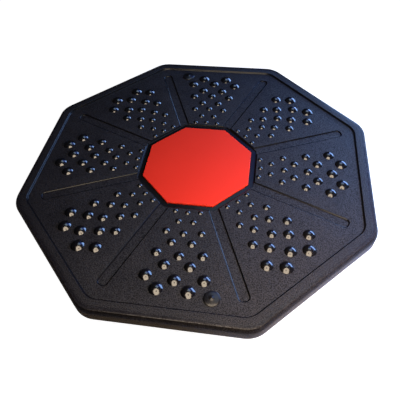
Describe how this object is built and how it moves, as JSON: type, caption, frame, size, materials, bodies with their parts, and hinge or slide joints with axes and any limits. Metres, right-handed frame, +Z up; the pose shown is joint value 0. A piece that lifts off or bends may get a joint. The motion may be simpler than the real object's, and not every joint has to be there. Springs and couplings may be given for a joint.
{
  "type": "balance disc",
  "caption": "Octagonal balance disc: a black plastic deck with massage knobs, radial slots and a red centre plate, rocking on a central dome foot.",
  "frame": {"origin": "centre of the foot pad's underside, on the floor under the middle of the board", "axes": "+Z up through the middle of the deck; +X and +Y square to two of the octagon's flat sides"},
  "size_m": [0.4, 0.4, 0.0708],
  "materials": {
    "textured_black_plastic": "satin, fine leather grain",
    "smooth_black_plastic": "smooth, half gloss",
    "red_plate_plastic": "smooth satin",
    "grey_black_rubber": "matt",
    "zinc_plated_steel": "bright zinc"
  },
  "bodies": {
    "root": {"deck_shell": "textured_black_plastic", "base_cover": "textured_black_plastic", "centre_plate": "red_plate_plastic", "dome_foot": "smooth_black_plastic", "blanking_plug_1": "smooth_black_plastic", "blanking_plug_2": "smooth_black_plastic", "foot_pad": "grey_black_rubber", "rim_screw_1": "zinc_plated_steel", "rim_screw_2": "zinc_plated_steel", "rim_screw_3": "zinc_plated_steel", "rim_screw_4": "zinc_plated_steel", "rim_screw_5": "zinc_plated_steel", "rim_screw_6": "zinc_plated_steel", "rim_screw_7": "zinc_plated_steel", "rim_screw_8": "zinc_plated_steel", "ring_screw_1": "zinc_plated_steel", "ring_screw_2": "zinc_plated_steel", "ring_screw_3": "zinc_plated_steel", "ring_screw_4": "zinc_plated_steel", "hub_bolt_1": "zinc_plated_steel", "hub_bolt_2": "zinc_plated_steel", "hub_bolt_3": "zinc_plated_steel", "hub_bolt_4": "zinc_plated_steel"}
  },
  "joints": []
}
